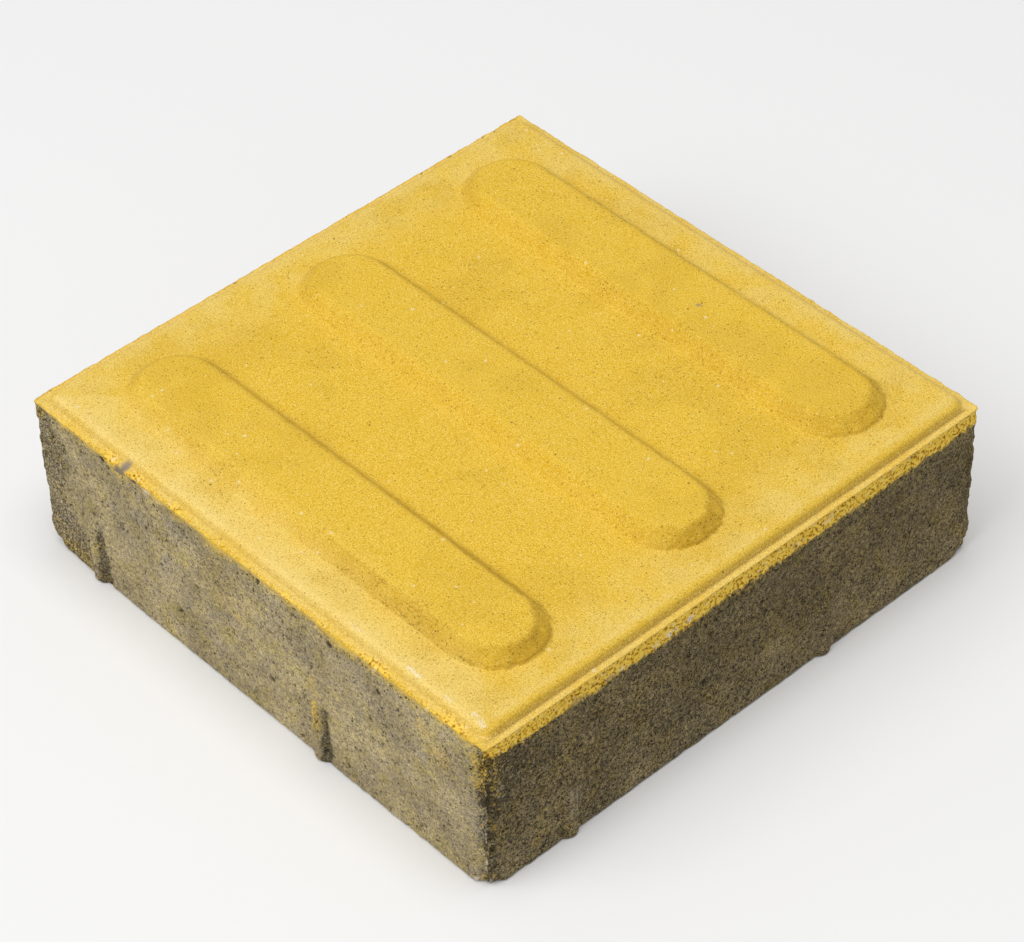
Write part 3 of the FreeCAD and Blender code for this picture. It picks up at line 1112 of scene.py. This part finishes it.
pins = yellow.dots(0.9, 0.40, yellow.times_plus(open_and_shade, 0.45, 0.20), ragged)
yellow.paint(pins, PIT_SHADE_BROWN, yellow.times_plus(open_and_shade, 0.4, 0.4))
yellow.paint(yellow.dots(1.6, 0.34, 0.30, ragged), PIT_SHADE_BROWN, 0.75)
yellow.paint(yellow.dots(2.7, 0.8, 0.25, ragged), ROSY_SAND, 0.30)
pit_shade_colour = yellow.blend(torn_value, PIT_SHADE_BROWN, GOLDEN_PIT_SHADE)
yellow.paint(yellow.step(yellow.value("pit_shade"), 0.1, 0.9), pit_shade_colour, 0.75)

along_bars = yellow.add("ShaderNodeVectorMath", ragged, DRAWN_OUT, operation="MULTIPLY").outputs[0]
crack_line = yellow.math("ABSOLUTE", yellow.math("SUBTRACT", yellow.noise(1.6, 2, along_bars), 0.5))
crack = yellow.times(yellow.step(crack_line, 0.022, 0.006), yellow.step(yellow.value("foot"), 0.25, 0.9))
yellow.paint(crack, PIT_SHADE_BROWN, 0.55)
yellow.paint(yellow.dots(4.5, 0.5, 0.3, ragged), DARK_GRAIN, 0.8)
yellow.paint(yellow.dots(4.0, 0.8, 0.2, ragged), PALE_GRAIN, 0.7)
print("sand and pits:", len(yellow.tree.nodes), "nodes so far")

# %% [markdown]
# The last coats are the backing's colour below the border, and the single marks. Burnished paste is
# smoother than open grain, so the rim gets more shine and less relief, and the torn edge the most relief.

# %% Border, marks and shine of the facing
BACKING_UNSHADED, BACKING_SHADED = (0.40, 0.33, 0.18), (0.21, 0.17, 0.09)
SCRATCH_GREY = (0.27, 0.215, 0.15)
PALE_STONE = (0.86, 0.87, 0.90)
WHITE_GLINT_AND_STONE = (0.90, 0.83, 0.66)

right_value, burnish = yellow.value("right"), yellow.value("burnished")
# On the right-hand side the backing's colour below the border carries the backing's painted shade.
backing_colour = yellow.blend(right_value, BACKING_UNSHADED, BACKING_SHADED)
over_border = border(yellow, yellow.value("over_meeting"), right_value)
yellow.paint(yellow.step(over_border, 1.0, -1.0), backing_colour)
yellow.paint(yellow.value("grey_fleck"), SCRATCH_GREY)
yellow.paint(yellow.value("pale_stone"), PALE_STONE, yellow.step(sand, 0.34, 0.56))
# White glints painted as highlights on the left shoulder, and white stones in the strip.
yellow.paint(yellow.value("white_glint_and_stone"), WHITE_GLINT_AND_STONE, yellow.step(speck, 0.66, 0.92))

height = yellow.times(yellow.math("SUBTRACT", speck, pins), yellow.times_plus(burnish, -0.7, 1.0))
height = yellow.times_plus(yellow.times(torn_lumps, torn_value), 6.0, height)
dullness = yellow.times_plus(burnish, -0.24, 0.84)
shine = yellow.times_plus(burnish, 0.45, 0.30)
yellow.coat(dullness, shine, height, 0.10)
print("facing concrete:", len(yellow.tree.nodes), "nodes")

# %% [markdown]
# ## Grey backing concrete
# A leaner, coarser mix. The cement is a warm grey that drifts to olive, ash and violet in patches of every
# size. Several layers of noise, each with its own tint, come closer to that than one noise with a long ramp
# of colours, because the patches then overlap freely.

# %% Grey cement
KHAKI = (0.475, 0.385, 0.20)
BROWN_GREY = (0.40, 0.325, 0.19)
OLIVE = (0.47, 0.37, 0.12)
ASHEN_GREY = (0.37, 0.315, 0.235)
VIOLET_GREY = (0.35, 0.285, 0.21)

grey = Finish("backing_concrete", KHAKI)
coarse_value, right_side_shade = grey.value("coarse"), grey.value("right_side_shade")
brown_patches = grey.times(grey.step(grey.noise(15, 3), 0.40, 0.62), 0.4)
grey.paint(grey.times_plus(coarse_value, 0.6, brown_patches), BROWN_GREY)
grey.paint(grey.step(grey.noise(9, 4), 0.46, 0.66), OLIVE, 0.65)
grey.paint(grey.step(grey.noise(11, 4), 0.50, 0.68), ASHEN_GREY, grey.times_plus(right_side_shade, -0.4, 0.6))
grey.paint(grey.step(grey.noise(1.1, 2), 0.54, 0.40), VIOLET_GREY, 0.6)
grey.paint(grey.step(grey.noise(0.8, 2), 0.52, 0.66), OLIVE, grey.times_plus(right_side_shade, -0.3, 0.5))
print("cement:", len(grey.tree.nodes), "nodes")

# %% [markdown]
# Yellow from the facing has smeared down over the grey, strongest in the stains listed above. The right-hand
# side lies in shade, and that shade is painted into its colour: darker and duller, least so where paste
# covers it and along the foot.

# %% Smears and painted shade
YELLOW_PASTE = (0.68, 0.455, 0.08)
RIGHT_SHADE_TINT = (0.395, 0.372, 0.312)

grain, fine_light = grey.noise(0.95, 4), grey.noise(0.40, 2)
below_meeting = grey.value("below_meeting")
stain = grey.times(grey.value("yellow_stain"), grey.times_plus(grey.step(grain, 0.36, 0.60), 0.7, 0.3))
grey.paint(stain, YELLOW_PASTE)
smear = grey.times(grey.step(below_meeting, 4.0, 0.0), grey.step(grain, 0.42, 0.60))
grey.paint(smear, OLIVE, 0.35)
grey.darken(grey.times_plus(grey.step(grey.noise(13, 4), 0.34, 0.66), 0.30, 0.84))

off_the_foot = grey.times_plus(grey.step(grey.value("height"), 0, 30), 0.25, 0.75)
right_shade = grey.times(right_side_shade, grey.times(grey.times_plus(stain, -0.5, 1.0), off_the_foot))
grey.paint(right_shade, grey.blend(1.0, grey.colour, RIGHT_SHADE_TINT, "MULTIPLY"))
over_border = border(grey, grey.times(below_meeting, -1.0), right_side_shade)
grey.paint(grey.step(over_border, -1.0, 1.0), YELLOW_PASTE)
print("smears and damp:", len(grey.tree.nodes), "nodes so far")

# %% [markdown]
# Last comes what is finer than the patches: the light and shade of sandy grain, loose grains packed in the
# coarse places with painted shade in the gaps between them, pinholes and pits painted near black as the shade
# in them, pebbles, and painted shade on the shaded flank beside a nib.

# %% Grains and holes of the backing
SAND_GRAIN = (0.62, 0.54, 0.36)
HOLE_SHADE = (0.05, 0.038, 0.02)
PEBBLE = (0.72, 0.65, 0.52)

rough_place = grey.shaken(0.9, 0.6)
rough_light = grey.times_plus(grain, 1.6, grey.times_plus(fine_light, 2.3, -1.95))
grey.darken(grey.times_plus(rough_light, grey.times_plus(right_side_shade, 1.1, 1.0), 1.0))
grey.paint(grey.dots(1.7, 0.55, 0.35, rough_place), SAND_GRAIN, grey.times_plus(right_side_shade, 0.15, 0.40))

gap, draw = grey.grains(1.15, rough_place)
loose = grey.step(coarse_value, 0.45, 1.0)
grey.paint(grey.times(grey.step(draw, 0.86, 0.90), loose), YELLOW_PASTE, 0.45)
grey.paint(grey.times(grey.step(draw, 0.20, 0.16), loose), SAND_GRAIN, 0.35)
grey.paint(grey.times(grey.step(gap, 0.18, 0.03), loose), HOLE_SHADE, 0.75)

# Painted shade on the right-hand flank of each nib.
grey.darken(grey.times_plus(grey.value("nib_shade"), -0.45, 1.0))
pinhole = grey.dots(1.1, 0.5, grey.times_plus(coarse_value, 0.4, 0.18), rough_place)
grey.paint(pinhole, HOLE_SHADE, 0.8)
grey.paint(grey.step(grey.value("pebble"), 0.05, 0.4), PEBBLE, 0.8)
# Two pale streaks on a nib of the right-hand side: painted highlights on its lit flank.
grey.paint(grey.value("nib_highlight"), PEBBLE)
grey.paint(grey.step(grey.value("pit_shade"), 0.1, 0.7), HOLE_SHADE, 0.9)

height = grey.math("SUBTRACT", grey.math("ADD", grain, fine_light), pinhole)
grey.coat(0.9, 0.2, height, 0.40)
print("backing concrete:", len(grey.tree.nodes), "nodes")

# %% [markdown]
# ## Joining the skins to the slab
# Each skin takes the place of its solid, rides with the slab and takes its finish's slot. The reach of the
# dressed slab is printed at the end.

# %% Place the skins and finish
for skin_object, node, finish, slot in (
    (facing_object, "facing_layer", yellow, "facing_concrete"),
    (backing_object, "backing_layer", grey, "backing_concrete"),
):
    skin_object.data.materials.append(finish.material)
    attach(skin_object, "root")
    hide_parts(node)

dressed_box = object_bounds()
low_corner, high_corner = ([round(v / MM, 2) for v in corner] for corner in dressed_box)
print("dressed slab reaches from", low_corner, "to", high_corner)
